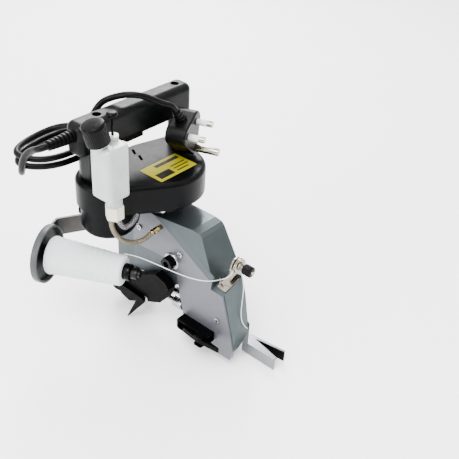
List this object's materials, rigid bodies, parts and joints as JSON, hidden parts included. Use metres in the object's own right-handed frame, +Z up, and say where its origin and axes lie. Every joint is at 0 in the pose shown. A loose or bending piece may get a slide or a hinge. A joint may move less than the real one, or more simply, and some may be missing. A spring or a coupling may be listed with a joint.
{
  "type": "bag closer sewing machine",
  "caption": "Hand-held electric bag closing sewing machine with carrying handle, belt guard over motor and head, thread cone on a stand, oil bottle, guide horn and coiled power cord.",
  "frame": {"origin": "middle of the carrying handle's grip", "axes": "+Z up, +X along the handle away from the motor, +Y the way the bag mouth travels through the throat"},
  "size_m": [0.2138, 0.2816, 0.3009],
  "materials": {
    "casting_paint": "satin grey metallic paint",
    "cover_paint": "satin lilac-grey metallic paint",
    "black_guard": "satin black",
    "black_handle": "satin black",
    "trigger_plastic": "matt black",
    "black_rubber": "satin black",
    "knob_black": "gloss black",
    "black_steel": "blackened steel",
    "label_yellow": "plain printed sheet with no lettering",
    "belt_rubber": "matt",
    "thread_white": "wound spun thread",
    "bottle_plastic": "translucent white",
    "nut_ivory": "ivory",
    "tube_braid": "braided",
    "pin_brass": "bright",
    "stator_iron": "laminated",
    "pulley_alloy": "machined",
    "dish_paint": "dark green-grey",
    "arm_metal": "grey",
    "horn_steel": "bright sheet steel",
    "bright_steel": "machined steel"
  },
  "bodies": {
    "frame": {"bag_guide": "horn_steel", "belt_guard": "black_guard", "bottle_nut": "nut_ivory", "brush_caps": "knob_black", "casting_screws": "bright_steel", "cone_stand_dish": "dish_paint", "cord_boot": "black_rubber", "cutter_block": "black_steel", "drive_belt": "belt_rubber", "fixed_knife": "bright_steel", "guard_base": "black_guard", "handle_bottom": "black_handle", "handle_top": "black_handle", "head_casting": "casting_paint", "inspection_plug": "knob_black", "label_plate": "label_yellow", "lifter_block": "black_steel", "looper_cover": "cover_paint", "looper_housing": "casting_paint", "motor_cover": "black_guard", "motor_stator": "stator_iron", "needle_plate": "bright_steel", "oil_bottle": "bottle_plastic", "oil_tubes": "tube_braid", "plug_body": "black_rubber", "plug_pins": "pin_brass", "plug_seat_ring": "bright_steel", "power_cord": "black_rubber", "presser_spring": "bright_steel", "shaft_bearings": "bright_steel", "shell_screws": "bright_steel", "side_cover": "cover_paint", "side_rods": "bright_steel", "stand_arm": "arm_metal", "switch_block": "trigger_plastic", "tension_bracket": "bright_steel", "tension_discs": "bright_steel", "thread": "thread_white"},
    "main_shaft_body": {"main_shaft": "bright_steel", "large_pulley": "pulley_alloy"},
    "motor_rotor": {"motor_armature": "stator_iron", "motor_pinion": "bright_steel"},
    "needle_rocker": {"needle_rocker_shaft": "bright_steel", "needle_arm": "bright_steel", "needle": "bright_steel"},
    "yoke": {"yoke_link": "bright_steel"},
    "looper_rocker": {"looper_shaft": "bright_steel", "looper": "bright_steel"},
    "push_rod": {"looper_push_rod": "bright_steel"},
    "feed_dog_body": {"feed_dog": "bright_steel"},
    "presser": {"presser_foot": "bright_steel", "presser_bar": "bright_steel"},
    "lift_lever_body": {"lift_lever": "black_steel"},
    "cutter": {"cutter_lever": "black_steel"},
    "tension_knob_body": {"tension_knob": "knob_black"},
    "cone": {"thread_cone": "thread_white", "cone_core": "knob_black"},
    "pump": {"pump_plunger": "knob_black"},
    "cap": {"filler_cap": "knob_black"},
    "trigger": {"trigger_switch": "trigger_plastic"}
  },
  "joints": [
    {"name": "main_shaft_spin", "type": "hinge", "parent": "frame", "child": "main_shaft_body", "pos_m": [0.0165, -0.026, -0.07125], "axis": [0, 0, 1], "continuous": true},
    {"name": "motor_spin", "type": "hinge", "parent": "frame", "child": "motor_rotor", "pos_m": [-0.0435, -0.006, -0.07125], "axis": [0, 0, 1], "continuous": true},
    {"name": "needle_rocker_swing", "type": "hinge", "parent": "frame", "child": "needle_rocker", "pos_m": [0.0075, -0.076, -0.18125], "axis": [0, -1, 0], "range_deg": [0, 18.2]},
    {"name": "yoke_link_pivot", "type": "hinge", "parent": "needle_rocker", "child": "yoke", "pos_m": [0.0094, -0.051, -0.1694], "axis": [0, -1, 0], "range_deg": [-18.2, 0]},
    {"name": "looper_swing", "type": "hinge", "parent": "frame", "child": "looper_rocker", "pos_m": [0.048, -0.104, -0.22125], "axis": [1, 0, 0], "range_deg": [0, 18.2]},
    {"name": "looper_push", "type": "slide", "parent": "frame", "child": "push_rod", "axis": [0, 0, 1], "range_m": [0, 0.0052]},
    {"name": "feed_dog_slide", "type": "slide", "parent": "frame", "child": "feed_dog_body", "axis": [0, 1, 0], "range_m": [0, 0.00605]},
    {"name": "presser_slide", "type": "slide", "parent": "frame", "child": "presser", "axis": [1, 0, 0], "range_m": [0, 0.01]},
    {"name": "lift_lever_swing", "type": "hinge", "parent": "frame", "child": "lift_lever_body", "pos_m": [-0.0235, -0.13, -0.22825], "axis": [0, 0, -1], "range_deg": [0, 23.9]},
    {"name": "cutter_swing", "type": "hinge", "parent": "frame", "child": "cutter", "pos_m": [-0.0035, 0.006, -0.22125], "axis": [-1, 0, 0], "range_deg": [0, 25]},
    {"name": "tension_knob_turn", "type": "hinge", "parent": "frame", "child": "tension_knob_body", "pos_m": [0.0145, -0.162, -0.13175], "axis": [0, -1, 0], "range_deg": [-360, 360]},
    {"name": "thread_cone_spin", "type": "hinge", "parent": "frame", "child": "cone", "pos_m": [-0.0968, 0.0345, -0.15375], "axis": [0.4129, -0.9108, 0], "continuous": true},
    {"name": "pump_plunger_slide", "type": "slide", "parent": "frame", "child": "pump", "axis": [0, 0, -1], "range_m": [0, 0.008]},
    {"name": "filler_cap_turn", "type": "hinge", "parent": "frame", "child": "cap", "pos_m": [-0.0815, -0.041, 0.00875], "axis": [-0.2516, 0.0839, 0.9642], "range_deg": [0, 720]},
    {"name": "trigger_slide", "type": "slide", "parent": "frame", "child": "trigger", "axis": [0, 0, 1], "range_m": [0, 0.004]}
  ],
  "couplings": [
    {"joint": "motor_spin", "follows": "main_shaft_spin", "ratio": 6.6667},
    {"joint": "yoke_link_pivot", "follows": "needle_rocker_swing", "ratio": -1},
    {"joint": "looper_swing", "follows": "needle_rocker_swing", "ratio": 1},
    {"joint": "looper_push", "follows": "needle_rocker_swing", "m_per_rad": 0.016},
    {"joint": "feed_dog_slide", "follows": "needle_rocker_swing", "m_per_rad": 0.018889},
    {"joint": "lift_lever_swing", "follows": "presser_slide", "rad_per_m": 41.667}
  ]
}
